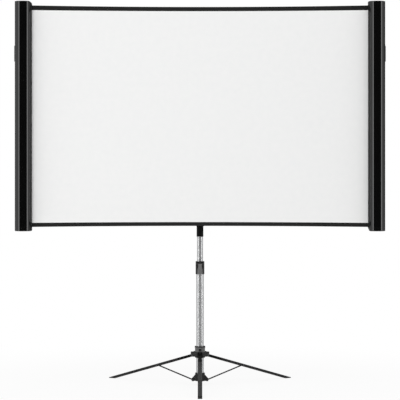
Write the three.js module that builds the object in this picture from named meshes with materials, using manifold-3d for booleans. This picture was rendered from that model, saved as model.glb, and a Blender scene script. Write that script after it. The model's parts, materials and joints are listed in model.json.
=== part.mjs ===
// Tripod projection screen that opens sideways: a sheet between two upright roller cases, held apart by a scissor
// brace on a telescopic mast with a folding tripod. Millimetres, +Z up, the viewer stands at -Y.
import * as THREE from 'three';
import { mergeVertices } from 'three/addons/utils/BufferGeometryUtils.js';
import Module from 'manifold-3d';

const wasm = await Module();
wasm.setup();

// Fits
const runningGap = 0.3; // between pieces that turn or slide on each other
const seatGap = 0.3; // between pieces that are fixed to each other
const sideGap = 0.4; // beside a link in its fork

// Tripod
const footReach = 545; // from the mast's axis to the tip of each foot
const legSetback = 11.4; // from a foot's tip back to where the leg's centre line meets the floor
const hubPinRadius = 38; // from the mast's axis to the pins in collar and hub
const collarPinHeight = 148.8;
const hubPinHeight = 20;
const legWidth = 22;
const legHeight = 13;
const legWall = 1.5;
const strutWidth = 12;
const strutHeight = 3.5;
const eyeTopGap = 0.5; // between a strut's eye and the top of the leg's channel
const collarPinDiameter = 5;
const linkPinDiameter = 4; // hub pins and knee pins
const pinHeadOverhang = 1.8; // radius of a pin's head beyond its shank
const pinHeadThickness = 1.2;
const footFloor = 2; // rubber under the leg's end
const footNose = 24; // rubber beyond the leg's end
const footTongue = 34; // length of the foot's plug inside the leg
const footChamfer = 1;

// Collar and hub
const collarDrop = 12; // of the collar below its pins
const collarHeight = 59;
const collarWall = 6.5;
const collarLipHeight = 9;
const collarLip = 1.2;
const forkThickness = 4;
const collarForkNose = 8;
const collarForkRise = 18; // of the forks' level tops above their pins
const collarForkCorner = 4;
const hubDrop = 2; // of the hub below its pins
const hubHeight = 41.5;
const hubWall = 5.5;
const hubFlangeHeight = 15;
const hubFlange = 1.5;
const hubFloor = 5;
const hubForkNose = 6;
const hubForkShoulder = 8; // of the forks' outer edges above their pins
const hubForkRise = 32; // of the forks' roots above their pins
const lockScrewRise = 31; // above the collar's pins
const lockScrewDiameter = 6;
const lockKnobDiameter = 20;
const lockKnobLength = 12;
const lockBossLength = 7;
const screwTipGap = 1.5; // between a lock screw and its tube before it is tightened
const knobLobes = 6;
const knobFlute = 1.6; // depth of the hollows between a knob's lobes
const knobRim = 1.5;
const knobDish = 3; // depth of the hollow in a knob's face

// Mast
const upperTubeDiameter = 30;
const tubeWall = 1.5;
const clampBottom = 562.5;
const clampHeight = 65;
const clampWall = 2.95; // beside the lower tube
const clampCorner = 10;
const clampRim = 2;
const clampSlit = 2.5; // between the ears, so that the lever can draw the top together
const clampShoulder = 30; // solid height above the end of the lower tube
const tubeOverlap = 372.5; // of the upper tube inside the lower one
const upperTubeShow = 126; // of the upper tube between clamp and socket
const bushingLength = 40;
const bushingWall = 2;
const bushingGap = 0.2; // slip fit of the guide sleeve in the lower tube
const leverPivotDrop = 17.5; // below the clamp's top
const leverBossRadius = 7;
const leverStandOff = 1; // between lever and clamp
const leverTopWidth = 19;
const leverGripWidth = 26;
const leverWaist = 9; // thickness of the lever's blade
const leverLip = 13; // thickness of the lever's lifted end
const leverPinDiameter = 5;
const leverEarThickness = 4;

// Mast head and spine
const socketWall = 2;
const socketDepth = 43.5;
const socketCrown = 14; // solid height above the bore
const socketKnobRise = 25; // above the socket's lower edge
const socketKnobDiameter = 24;
const socketKnobLength = 14;
const socketBossLength = 9;
const socketBossRadius = 8;
const spineWidth = 44;
const spineDepth = 22;
const spineWall = 2;
const spineSlot = 14;
const spinePlugHeight = 26;
const spineEndRoom = 25.3; // above the sliding block when the screen is closed
const spineCapHeight = 4;
const spineCapPlug = 12;
const spineCapRim = 1;

// Scissor brace
const openAngle = 24.05; // degrees from the level to an arm when the screen is open
const armWidth = 24;
const armThickness = 7;
const armGap = 1; // between the two layers of arms
const plugRoom = 3.7; // between the plug in the spine and the fixed pivot block
const braceFrontGap = 2.5; // between the arms and the backs of the cases
const braceRearGap = 2; // between the arms and the spine
const armPinDiameter = 9;
const crossPinDiameter = 8;
const armPinHead = 2; // radius of a pin's head beyond its shank
const armPinHeadThickness = 0.7;
const blockHeight = 30;
const blockNeckDiameter = 12;

// Cases and sheet
const caseSpread = 895; // from the mast's axis to each roller's axis
const caseDrop = 71; // from the fixed brace pins to the cases' lower ends
const caseHeight = 1163;
const caseWidth = 85;
const caseWall = 2;
const caseBackCorner = 5;
const trackWidth = 27;
const trackDepth = 10;
const trackSlot = 13;
const trackGap = 4.1; // between the sheet and a case's track
const sheetSlot = 7;
const capHeight = 17.5;
const capRim = 3;
const capNose = 15; // large round on the left top cap's inner corner
const capChamferWidth = 7; // bevel on the right bottom cap's inner corner
const capSpigotHeight = 6;
const capSpigotWall = 2;
const arborHoleDepth = 8;
const gripHeight = 81;
const gripWidth = 28;
const gripThickness = 3;
const gripRise = 858; // from the case's lower end to the grip's lower end
const sheetThickness = 0.6;
const sheetBow = 6; // how far the sheet's long edges draw in at the middle
const sheetEndGap = 2; // between the sheet's edges and the caps
const rollDepth = 2.7; // of the turns of sheet that stay on a roller
const rollerForward = 6; // from the middle of the case's round front to the roller's axis
const rollerDiameter = 42;
const rollerWall = 1.5;
const rollerPlug = 22;
const rollerEndGap = 4;
const gudgeonDiameter = 8;
const arborDiameter = 15;
const arborLength = 110;
const arborFlange = 20;
const springTurns = 6;
const springWire = 3;
const springPitch = 6;

// Facets
const tubeSides = 24;
const rollerSides = 16;
const knobSides = 20;
const pinSides = 10;
const arcSteps = 4; // for a quarter turn
const caseArcSteps = 8; // for a quarter turn of a case's front
const rimSteps = 2; // across a rounded rim

// Layers from the mast's axis towards the viewer
const spineFront = -spineDepth / 2;
const rearArmBack = spineFront - braceRearGap;
const rearArmFront = rearArmBack - armThickness;
const frontArmBack = rearArmFront - armGap;
const frontArmFront = frontArmBack - armThickness;
const caseBack = frontArmFront - braceFrontGap;
const trackFloor = caseBack - caseWall - trackDepth;
const sheetFront = trackFloor - caseWall - trackGap - sheetThickness;
const rollRadius = rollerDiameter / 2 + seatGap + rollDepth;
const rollerY = sheetFront - runningGap - rollRadius;
const caseMiddleY = rollerY + rollerForward;
const caseRadius = caseWidth / 2;

// Tripod linkage: strut and upper leg are equal, so collar, legs and struts fold at fixed ratios
const legRun = footReach - legSetback - hubPinRadius;
const legSlope = Math.atan2(collarPinHeight, legRun);
const kneeDrop = (collarPinHeight - hubPinHeight) / 2;
const linkLength = kneeDrop / Math.sin(legSlope);
const strutEyeRadius = legHeight / 2 - legWall - eyeTopGap;
const legAzimuths = { front: -Math.PI / 2, left: (5 * Math.PI) / 6, right: Math.PI / 6 };
const rearReach = footReach * Math.sin(legAzimuths.right) + (legWidth / 2) * Math.cos(legAzimuths.right);
const mastY = (footReach - rearReach) / 2; // brings the middle of the footprint to the origin

// Heights from the floor up
const hubBottom = hubPinHeight - hubDrop;
const hubTop = hubBottom + hubHeight;
const collarBottom = collarPinHeight - collarDrop;
const collarTop = collarBottom + collarHeight;
const lockScrewHeight = collarPinHeight + lockScrewRise;
const upperTubeRadius = upperTubeDiameter / 2;
const bushingRadius = upperTubeRadius + seatGap + bushingWall;
const lowerTubeRadius = bushingRadius + bushingGap + tubeWall;
const lowerTubeFoot = hubBottom + hubFloor + seatGap;
const clampTop = clampBottom + clampHeight;
const lowerTubeTop = clampTop - clampShoulder;
const upperTubeFoot = lowerTubeTop - tubeOverlap;
const socketBottom = clampTop + upperTubeShow;
const socketRadius = upperTubeRadius + runningGap + socketWall;
const upperTubeTop = socketBottom + socketDepth - seatGap;
const spineBottom = socketBottom + socketDepth + socketCrown + seatGap;
const bracePivotHeight = spineBottom + spinePlugHeight + plugRoom + blockHeight / 2;
const caseBottom = bracePivotHeight - caseDrop;
const caseTop = caseBottom + caseHeight;
const shellBottom = caseBottom + capHeight;
const shellTop = caseTop - capHeight;
const sheetBottom = shellBottom + sheetEndGap;
const sheetTop = shellTop - sheetEndGap;

// Scissor brace: four equal arms, so that both cases keep their height as they close
const braceAngle = THREE.MathUtils.degToRad(openAngle);
const armLength = caseSpread / Math.cos(braceAngle); // between the end pins of an arm
const braceRise = caseSpread * Math.tan(braceAngle);
const spineTop = bracePivotHeight + armLength + blockHeight / 2 + spineEndRoom;

const gloss = { color: 0x0b0b0c, roughness: 0.12, metalness: 0.0 };
const moulded = { color: 0x1d1d1f, roughness: 0.45, metalness: 0.0 };
const painted = { color: 0x2c2c2e, roughness: 0.4, metalness: 0.2 };
const rubber = { color: 0x121212, roughness: 0.8, metalness: 0.0 };
const silver = { color: 0xc9cbce, roughness: 0.22, metalness: 0.9 };
const steel = { color: 0x9a9da0, roughness: 0.35, metalness: 0.9 };
const greyPlastic = { color: 0x6b6c6e, roughness: 0.5, metalness: 0.0 };
const satinBlack = { color: 0x18181a, roughness: 0.5, metalness: 0.4 };
const fabric = { color: 0xf1f1f0, roughness: 0.9, metalness: 0.0 };

// A closed geometry as a solid that can be joined and cut, and back
function solidOf(geometry) {
  const bare = geometry.clone();
  bare.deleteAttribute('normal');
  bare.deleteAttribute('uv');
  const merged = mergeVertices(bare, 1e-4);
  const vertProperties = new Float32Array(merged.attributes.position.array);
  const triVerts = new Uint32Array(merged.index.array);
  return new wasm.Manifold(new wasm.Mesh({ numProp: 3, vertProperties, triVerts }));
}

function geometryOf(solid) {
  const mesh = solid.getMesh();
  const geometry = new THREE.BufferGeometry();
  geometry.setAttribute('position', new THREE.BufferAttribute(new Float32Array(mesh.vertProperties), 3));
  geometry.setIndex(new THREE.BufferAttribute(new Uint32Array(mesh.triVerts), 1));
  geometry.computeVertexNormals();
  return geometry;
}

function join(...geometries) {
  const solids = geometries.map(solidOf);
  return geometryOf(solids.reduce((whole, next) => whole.add(next)));
}

function cut(geometry, ...tools) {
  const solids = tools.map(solidOf);
  return geometryOf(solids.reduce((rest, tool) => rest.subtract(tool), solidOf(geometry)));
}

function common(...geometries) {
  const solids = geometries.map(solidOf);
  return geometryOf(solids.reduce((whole, next) => whole.intersect(next)));
}

// An outline drawn across one axis and run along it between two stations
function alongZ(shape, from, to) {
  const geometry = new THREE.ExtrudeGeometry(shape, { depth: to - from, bevelEnabled: false, curveSegments: 8 });
  return geometry.translate(0, 0, from);
}

function alongY(shape, from, to) {
  const geometry = alongZ(shape, 0, to - from);
  return geometry.rotateX(Math.PI / 2).translate(0, to, 0);
}

function alongX(shape, from, to) {
  const turn = new THREE.Matrix4().makeBasis(
    new THREE.Vector3(0, 1, 0),
    new THREE.Vector3(0, 0, 1),
    new THREE.Vector3(1, 0, 0),
  );
  return alongZ(shape, 0, to - from).applyMatrix4(turn).translate(from, 0, 0);
}

// An outline run along Z with both of its rims rounded over
function rimmed(shape, from, to, rim) {
  const geometry = new THREE.ExtrudeGeometry(shape, {
    depth: to - from - 2 * rim,
    bevelThickness: rim,
    bevelSize: rim,
    bevelOffset: -rim,
    bevelSegments: rimSteps,
  });
  return geometry.translate(0, 0, from + rim);
}

// A profile of [radius, height] pairs turned round the Z axis
function turned(profile, sides = tubeSides) {
  const points = profile.map(([radius, height]) => new THREE.Vector2(radius, height));
  return new THREE.LatheGeometry(points, sides).rotateX(Math.PI / 2);
}

function sleeve(outer, inner, from, to, sides = tubeSides) {
  return turned([[inner, from], [outer, from], [outer, to], [inner, to], [inner, from]], sides);
}

function rod(radius, from, to, sides = pinSides) {
  return turned([[0, from], [radius, from], [radius, to], [0, to]], sides);
}

// Rods lying along X or Y through a point
function rodX(radius, from, to, y, z, sides = pinSides) {
  return rod(radius, from, to, sides).rotateY(Math.PI / 2).translate(0, y, z);
}

function rodY(radius, from, to, x, z, sides = pinSides) {
  return rod(radius, -to, -from, sides).rotateX(Math.PI / 2).translate(x, 0, z);
}

function box(fromX, toX, fromY, toY, fromZ, toZ) {
  const geometry = new THREE.BoxGeometry(toX - fromX, toY - fromY, toZ - fromZ);
  return geometry.translate((fromX + toX) / 2, (fromY + toY) / 2, (fromZ + toZ) / 2);
}

// Points of an arc, both ends included
function arc(x, y, radius, fromAngle, toAngle, quarterSteps = arcSteps) {
  const quarters = Math.abs(toAngle - fromAngle) / (Math.PI / 2);
  const steps = Math.max(2, Math.round(quarters * quarterSteps));
  return Array.from({ length: steps + 1 }, (_, step) => {
    const angle = fromAngle + ((toAngle - fromAngle) * step) / steps;
    return new THREE.Vector2(x + radius * Math.cos(angle), y + radius * Math.sin(angle));
  });
}

function point(x, y) {
  return new THREE.Vector2(x, y);
}

function roundedRectangle(fromX, toX, fromY, toY, radius) {
  return new THREE.Shape([
    ...arc(fromX + radius, fromY + radius, radius, Math.PI, 1.5 * Math.PI),
    ...arc(toX - radius, fromY + radius, radius, 1.5 * Math.PI, 2 * Math.PI),
    ...arc(toX - radius, toY - radius, radius, 0, Math.PI / 2),
    ...arc(fromX + radius, toY - radius, radius, Math.PI / 2, Math.PI),
  ]);
}

// A faceted hole is drawn outside its circle, so that its clearance holds all the way round
function drill(radius) {
  return radius / Math.cos(Math.PI / pinSides);
}

function circleHole(x, y, radius) {
  return new THREE.Path(arc(x, y, drill(radius), 0, 2 * Math.PI, pinSides / 4).slice(1));
}

function piece(name, geometry, finish) {
  const mesh = new THREE.Mesh(geometry, new THREE.MeshStandardMaterial(finish));
  mesh.name = name;
  return mesh;
}

function placed(group, x, y, z) {
  group.position.set(x, y, z);
  return group;
}

// A pin along Y with a low head at each end, for a fork whose outer faces are a given width apart
function headedPin(diameter, gripWidth) {
  const radius = diameter / 2;
  const head = radius + pinHeadOverhang;
  const inner = gripWidth / 2 + seatGap;
  const outer = inner + pinHeadThickness;
  const profile = [[0, -outer], [head, -outer], [head, -inner], [radius, -inner]];
  const mirrored = profile.map(([r, z]) => [r, -z]).reverse();
  return turned([...profile, ...mirrored], pinSides).rotateX(Math.PI / 2);
}

// A bar with a round eye at each end, from an outline in the XZ plane
function eyeBar(length, eyeRadius, barHeight, holeRadius, width) {
  const blend = Math.asin(barHeight / 2 / eyeRadius);
  const shape = new THREE.Shape([
    ...arc(0, 0, eyeRadius, blend, 2 * Math.PI - blend),
    ...arc(length, 0, eyeRadius, blend - Math.PI, Math.PI - blend),
  ]);
  shape.holes.push(circleHole(0, 0, holeRadius), circleHole(length, 0, holeRadius));
  return alongY(shape, -width / 2, width / 2);
}

// One cheek of a fork: from the middle of a barrel's wall to a round nose under the pin, closed by an upper edge
function forkCheek(wallRadius, slotWidth, rootBottom, rootTop, pinHeight, nose, holeRadius, upperEdge) {
  const root = Math.sqrt(wallRadius ** 2 - (slotWidth / 2) ** 2);
  const shape = new THREE.Shape([
    point(root, rootBottom),
    ...arc(hubPinRadius, pinHeight, nose, -Math.PI / 2, 0),
    ...upperEdge,
    point(root, rootTop),
  ]);
  shape.holes.push(circleHole(hubPinRadius, pinHeight, holeRadius));
  return shape;
}

function forks(shape, slotWidth) {
  const inner = slotWidth / 2;
  const outer = inner + forkThickness;
  return Object.values(legAzimuths).flatMap((azimuth) => [
    alongY(shape, inner, outer).rotateZ(azimuth),
    alongY(shape, -outer, -inner).rotateZ(azimuth),
  ]);
}

// A lobed hand knob on a screw along -Y, its screw ending at the given station
function screwKnob(knobDiameter, knobLength, knobFrom, screwTip) {
  const steps = knobLobes * 4;
  const rim = Array.from({ length: steps }, (_, step) => {
    const angle = (2 * Math.PI * step) / steps;
    const hollow = (knobFlute * (1 - Math.cos(knobLobes * angle))) / 2;
    const radius = knobDiameter / 2 - hollow;
    return point(radius * Math.cos(angle), radius * Math.sin(angle));
  });
  const face = knobFrom + knobLength;
  const dish = rod(lockScrewDiameter, face - knobDish, face + 1);
  const grip = cut(rimmed(new THREE.Shape(rim), knobFrom, face, knobRim), dish);
  const knob = join(grip, rod(lockScrewDiameter / 2, screwTip, knobFrom + knobRim));
  return knob.rotateX(Math.PI / 2);
}

const part = new THREE.Group();
const stand = placed(new THREE.Group(), 0, mastY, 0);
part.add(stand);

// Lower hub: a blind cup for the tube with a flange and three forks
const hubBore = lowerTubeRadius + seatGap;
const hubRadius = hubBore + hubWall;
const hubFlangeRadius = hubRadius + hubFlange;
const hubFlangeTop = hubBottom + hubFlangeHeight;
const hubPinHole = linkPinDiameter / 2 + runningGap;
const strutSlot = strutWidth + 2 * sideGap;
const hubCheek = forkCheek(
  hubBore + hubWall / 2,
  strutSlot,
  hubBottom + 1,
  hubPinHeight + hubForkRise,
  hubPinHeight,
  hubForkNose,
  hubPinHole,
  [point(hubPinRadius + hubForkNose, hubPinHeight + hubForkShoulder)],
);
const hubBarrel = turned([
  [0, hubBottom],
  [hubFlangeRadius - 2, hubBottom],
  [hubFlangeRadius, hubBottom + 2],
  [hubFlangeRadius, hubFlangeTop],
  [hubRadius, hubFlangeTop + hubFlange],
  [hubRadius, hubTop - 1],
  [hubRadius - 1, hubTop],
  [hubBore, hubTop],
  [hubBore, hubBottom + hubFloor],
  [0, hubBottom + hubFloor],
]);
stand.add(piece('lower_hub', join(hubBarrel, ...forks(hubCheek, strutSlot)), moulded));

stand.add(piece(
  'lower_tube',
  sleeve(lowerTubeRadius, lowerTubeRadius - tubeWall, lowerTubeFoot, lowerTubeTop),
  silver,
));

// Collar: a barrel with a lip, three forks and the boss of the lock screw
const collarBore = lowerTubeRadius + runningGap;
const collarRadius = collarBore + collarWall;
const collarLipRadius = collarRadius + collarLip;
const collarPinHole = collarPinDiameter / 2 + runningGap;
const legSlot = legWidth + 2 * sideGap;
const lipBottom = collarTop - collarLipHeight;
const collarForkEnd = hubPinRadius + collarForkNose - collarForkCorner;
const collarForkTop = collarPinHeight + collarForkRise;
const collarCheek = forkCheek(
  collarBore + collarWall / 2,
  legSlot,
  collarPinHeight - collarForkNose,
  collarForkTop,
  collarPinHeight,
  collarForkNose,
  collarPinHole,
  arc(collarForkEnd, collarForkTop - collarForkCorner, collarForkCorner, 0, Math.PI / 2),
);
const collarBarrel = turned([
  [collarBore, collarBottom],
  [collarRadius - 1.5, collarBottom],
  [collarRadius, collarBottom + 1.5],
  [collarRadius, lipBottom - collarLip],
  [collarLipRadius, lipBottom],
  [collarLipRadius, collarTop - 1.5],
  [collarLipRadius - 1.5, collarTop],
  [collarBore, collarTop],
  [collarBore, collarBottom],
]);
const lockBossRadius = lockKnobDiameter / 2 - 1.5;
const lockBossFace = -(collarRadius + lockBossLength);
const lockScrewRadius = lockScrewDiameter / 2;
const lockBoss = rodY(lockBossRadius, lockBossFace, -(collarBore + collarWall / 2), 0, lockScrewHeight, knobSides);
const lockScrewHole = rodY(drill(lockScrewRadius + runningGap), lockBossFace - 1, 0, 0, lockScrewHeight);
const collarBody = join(collarBarrel, lockBoss, ...forks(collarCheek, legSlot));
stand.add(piece('collar', cut(collarBody, lockScrewHole), moulded));

const lockKnob = screwKnob(
  lockKnobDiameter,
  lockKnobLength,
  -lockBossFace + runningGap,
  lowerTubeRadius + screwTipGap,
);
stand.add(placed(piece('collar_knob', lockKnob, moulded), 0, 0, lockScrewHeight));

// Places in a leg's upright plane, given as a distance along the leg from its collar pin and a height across it
const legHalf = legHeight / 2;
const legSine = Math.sin(legSlope);
const legCosine = Math.cos(legSlope);
const onLeg = (distance, height) =>
  point(
    hubPinRadius + distance * legCosine + height * legSine,
    collarPinHeight - distance * legSine + height * legCosine,
  );
const distanceAt = (level, height) => (collarPinHeight - level + height * legCosine) / legSine;
const heightAt = (level, distance) => (level - collarPinHeight + distance * legSine) / legCosine;
const toeDistance = (footReach - onLeg(0, legHalf).x) / legCosine;
const legEnd = toeDistance - footNose;

// Leg: an inverted channel with a round end about its collar pin, its far end cut level above the floor
function legChannel() {
  const outline = new THREE.Shape([
    ...arc(0, 0, legHalf, Math.PI / 2, 1.5 * Math.PI),
    point(distanceAt(footFloor, -legHalf), -legHalf),
    point(legEnd, heightAt(footFloor, legEnd)),
    point(legEnd, legHalf),
  ]);
  const inside = legWidth / 2 - legWall;
  const reach = legWidth / 2 + 1;
  const collarHole = collarPinDiameter / 2 + runningGap;
  const kneeHole = linkPinDiameter / 2 + runningGap;
  return cut(
    alongY(outline, -legWidth / 2, legWidth / 2),
    box(-legHeight, legEnd + 1, -inside, inside, -legHeight, legHalf - legWall),
    rodY(drill(collarHole), -reach, reach, 0, 0),
    rodY(drill(kneeHole), -reach, reach, linkLength, 0),
  );
}

// Foot: a rubber plug in the leg's end, with a sole under the cut and a nose that carries on the leg's outline
function footPlug() {
  const sole = footFloor - seatGap;
  const noseFrom = legEnd + seatGap;
  const heel = onLeg(distanceAt(0, -legHalf), -legHalf);
  const outside = new THREE.Shape([
    onLeg(distanceAt(sole, -legHalf), -legHalf),
    heel,
    point(footReach - footChamfer, 0),
    point(footReach, footChamfer),
    onLeg(toeDistance, legHalf),
    onLeg(noseFrom, legHalf),
    onLeg(noseFrom, heightAt(sole, noseFrom)),
  ]);
  const roof = legHalf - legWall - seatGap;
  const tongueTo = legEnd + footNose / 2;
  const tongue = new THREE.Shape([
    onLeg(legEnd - footTongue, roof),
    onLeg(legEnd - footTongue, -legHalf),
    heel,
    onLeg(tongueTo, heightAt(0, tongueTo)),
    onLeg(tongueTo, heightAt(sole, tongueTo)),
    onLeg(noseFrom, roof),
  ]);
  const tongueHalf = legWidth / 2 - legWall - seatGap;
  return join(
    alongY(outside, -legWidth / 2, legWidth / 2),
    alongY(tongue, -tongueHalf, tongueHalf),
  );
}

for (const [side, azimuth] of Object.entries(legAzimuths)) {
  const plane = new THREE.Group();
  plane.rotation.z = azimuth;
  stand.add(plane);

  const leg = placed(new THREE.Group(), hubPinRadius, 0, collarPinHeight);
  leg.rotation.y = legSlope;
  leg.add(piece(`leg_${side}`, legChannel(), painted));
  leg.add(piece(`collar_pin_${side}`, headedPin(collarPinDiameter, legSlot + 2 * forkThickness), steel));
  leg.add(placed(piece(`knee_pin_${side}`, headedPin(linkPinDiameter, legWidth), steel), linkLength, 0, 0));

  const strut = placed(new THREE.Group(), hubPinRadius, 0, hubPinHeight);
  strut.rotation.y = -legSlope;
  const strutBar = eyeBar(
    linkLength,
    strutEyeRadius,
    strutHeight,
    linkPinDiameter / 2 + runningGap,
    strutWidth,
  );
  strut.add(piece(`strut_${side}`, strutBar, painted));
  strut.add(piece(`hub_pin_${side}`, headedPin(linkPinDiameter, strutSlot + 2 * forkThickness), steel));

  plane.add(leg, strut, piece(`foot_${side}`, footPlug(), rubber));
}

// Mast clamp: a block stepped for both tubes, with two ears for the lever
const clampHalf = lowerTubeRadius + seatGap + clampWall;
const clampFront = -clampHalf;
const leverPivotY = clampFront - leverStandOff - leverBossRadius;
const leverPivotZ = clampTop - leverPivotDrop;
const earInner = leverTopWidth / 2 + sideGap;
const earOuter = earInner + leverEarThickness;
const leverHole = leverPinDiameter / 2 + runningGap;
const earShape = new THREE.Shape([
  ...arc(leverPivotY, leverPivotZ, leverBossRadius, Math.PI / 2, 1.5 * Math.PI),
  point(clampFront + 2, leverPivotZ - leverBossRadius - 3),
  point(clampFront + 2, leverPivotZ + leverBossRadius + 3),
]);
earShape.holes.push(circleHole(leverPivotY, leverPivotZ, leverHole));
const clampOutline = roundedRectangle(-clampHalf, clampHalf, clampFront, clampHalf, clampCorner);
const clampBlock = join(
  rimmed(clampOutline, clampBottom, clampTop, clampRim),
  alongX(earShape, earInner, earOuter),
  alongX(earShape, -earOuter, -earInner),
);
const clampBody = cut(
  clampBlock,
  rod(lowerTubeRadius + seatGap, clampBottom - 1, lowerTubeTop + seatGap, tubeSides),
  rod(upperTubeRadius + runningGap, clampBottom - 1, clampTop + 1, tubeSides),
  box(-clampSlit / 2, clampSlit / 2, clampFront - 1, 0, lowerTubeTop + seatGap, clampTop + 1),
);
stand.add(piece('clamp_body', clampBody, moulded));

// Clamp lever: a boss and a blade that thins to a waist and lifts at its end, widening towards the hand
const bladeBack = clampFront - leverStandOff;
const bladeEnd = clampBottom + 1;
const bladeSide = new THREE.Shape([
  ...arc(leverPivotY, leverPivotZ, leverBossRadius, 0, Math.PI),
  point(bladeBack - leverWaist, bladeEnd + 16),
  point(bladeBack - leverLip, bladeEnd + 4),
  point(bladeBack - leverLip + 1, bladeEnd),
  point(bladeBack - 2, bladeEnd),
  point(bladeBack, bladeEnd + 2),
]);
const flareTop = leverPivotZ - leverBossRadius - 3;
const gripCorner = 4;
const bladeFace = new THREE.Shape([
  point(leverTopWidth / 2, leverPivotZ + leverBossRadius + 1),
  point(-leverTopWidth / 2, leverPivotZ + leverBossRadius + 1),
  point(-leverTopWidth / 2, flareTop),
  point(-leverGripWidth / 2, flareTop - 14),
  ...arc(-leverGripWidth / 2 + gripCorner, bladeEnd + gripCorner, gripCorner, Math.PI, 1.5 * Math.PI),
  ...arc(leverGripWidth / 2 - gripCorner, bladeEnd + gripCorner, gripCorner, 1.5 * Math.PI, 2 * Math.PI),
  point(leverGripWidth / 2, flareTop - 14),
  point(leverTopWidth / 2, flareTop),
]);
const leverBlade = common(
  alongX(bladeSide, -leverGripWidth, leverGripWidth),
  alongY(bladeFace, bladeBack - 2 * leverLip, clampFront),
);
const leverBore = rodX(drill(leverHole), -leverGripWidth, leverGripWidth, leverPivotY, leverPivotZ);
stand.add(piece('clamp_lever', cut(leverBlade, leverBore), greyPlastic));
const leverPin = headedPin(leverPinDiameter, 2 * earOuter).rotateZ(Math.PI / 2);
stand.add(placed(piece('lever_pin', leverPin, steel), 0, leverPivotY, leverPivotZ));

// Upper mast tube with its guide sleeve
stand.add(piece(
  'upper_tube',
  sleeve(upperTubeRadius, upperTubeRadius - tubeWall, upperTubeFoot, upperTubeTop),
  silver,
));
stand.add(piece(
  'mast_bushing',
  sleeve(bushingRadius, upperTubeRadius + seatGap, upperTubeFoot, upperTubeFoot + bushingLength),
  greyPlastic,
));

// Socket: a cup over the mast's top with a plug that enters the spine and the boss of its clamp screw
const socketCrownTop = socketBottom + socketDepth + socketCrown;
const socketKnobZ = socketBottom + socketKnobRise;
const plugHalfX = spineWidth / 2 - spineWall - seatGap;
const plugHalfY = spineDepth / 2 - spineWall - seatGap;
const socketCup = turned([
  [upperTubeRadius + runningGap, socketBottom],
  [socketRadius - 0.8, socketBottom],
  [socketRadius, socketBottom + 0.8],
  [socketRadius, socketCrownTop],
  [0, socketCrownTop],
  [0, socketBottom + socketDepth],
  [upperTubeRadius + runningGap, socketBottom + socketDepth],
  [upperTubeRadius + runningGap, socketBottom],
]);
const socketBossFace = socketRadius + socketBossLength;
const socketBody = join(
  socketCup,
  box(-plugHalfX, plugHalfX, -plugHalfY, plugHalfY, socketCrownTop - 4, spineBottom + spinePlugHeight),
  rodY(socketBossRadius, socketRadius - socketWall / 2, socketBossFace, 0, socketKnobZ, rollerSides),
);
const socketScrewHole = rodY(drill(lockScrewRadius + runningGap), 0, socketBossFace + 1, 0, socketKnobZ);
stand.add(piece('mast_socket', cut(socketBody, socketScrewHole), moulded));
const socketKnob = screwKnob(
  socketKnobDiameter,
  socketKnobLength,
  socketBossFace + runningGap,
  upperTubeRadius + screwTipGap,
).rotateZ(Math.PI);
stand.add(placed(piece('socket_knob', socketKnob, moulded), 0, 0, socketKnobZ));

// Spine: a channel whose slot faces the arms
const spineHalf = spineWidth / 2;
const spineInside = spineHalf - spineWall;
const spineBack = spineFront + spineDepth;
const spineOutline = new THREE.Shape([
  point(spineSlot / 2, spineFront),
  point(spineHalf, spineFront),
  point(spineHalf, spineBack),
  point(-spineHalf, spineBack),
  point(-spineHalf, spineFront),
  point(-spineSlot / 2, spineFront),
  point(-spineSlot / 2, spineFront + spineWall),
  point(-spineInside, spineFront + spineWall),
  point(-spineInside, spineBack - spineWall),
  point(spineInside, spineBack - spineWall),
  point(spineInside, spineFront + spineWall),
  point(spineSlot / 2, spineFront + spineWall),
]);
stand.add(piece('spine', alongZ(spineOutline, spineBottom, spineTop), satinBlack));

// Spine cap: a plug for the spine's open top
const spineCapSeat = spineTop + seatGap;
const spineCapOutline = roundedRectangle(-spineHalf, spineHalf, spineFront, spineBack, 2 * spineCapRim);
const spineCap = join(
  rimmed(spineCapOutline, spineCapSeat, spineCapSeat + spineCapHeight, spineCapRim),
  box(-plugHalfX, plugHalfX, -plugHalfY, plugHalfY, spineTop - spineCapPlug, spineCapSeat + spineCapRim),
);
stand.add(piece('spine_cap', spineCap, moulded));

// A block in a track with a neck through the track's slot and a riveted pin, along +Y from the block's middle
function pivotBlock(width, depth, slotFace, armsFrom, armsTo) {
  const neck = blockNeckDiameter / 2;
  const pin = armPinDiameter / 2;
  const half = blockHeight / 2;
  const shank = turned([
    [0, 0],
    [neck, 0],
    [neck, armsFrom - runningGap],
    [pin, armsFrom - runningGap],
    [pin, armsTo + runningGap],
    [pin + armPinHead, armsTo + runningGap],
    [pin + armPinHead, armsTo + armPinHeadThickness],
    [0, armsTo + armPinHeadThickness],
  ], pinSides);
  // The turned shank stands on Z; the quarter turn lays it along +Y
  shank.rotateX(-Math.PI / 2);
  return join(box(-width / 2, width / 2, slotFace - depth, slotFace, -half, half), shank);
}

const spineBlockDepth = spineDepth - 2 * spineWall - 2 * runningGap;
const spineBlockWidth = 2 * spineInside - 2 * runningGap;
const spineBlockFace = spineBlockDepth / 2;
const spineBlock = () =>
  pivotBlock(spineBlockWidth, spineBlockDepth, spineBlockFace, -rearArmBack, -frontArmFront).rotateZ(Math.PI);
stand.add(placed(piece('spine_pivot', spineBlock(), steel), 0, 0, bracePivotHeight));
stand.add(placed(piece('spine_slider', spineBlock(), moulded), 0, 0, bracePivotHeight + braceRise));

const trackMiddle = caseBack - caseWall - trackDepth / 2;
const caseBlockDepth = trackDepth - 2 * runningGap;
const caseBlockWidth = trackWidth - 2 * runningGap;

function caseBlock(armBack, armFront) {
  return pivotBlock(
    caseBlockWidth,
    caseBlockDepth,
    caseBlockDepth / 2,
    armFront - trackMiddle,
    armBack - trackMiddle,
  );
}

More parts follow.
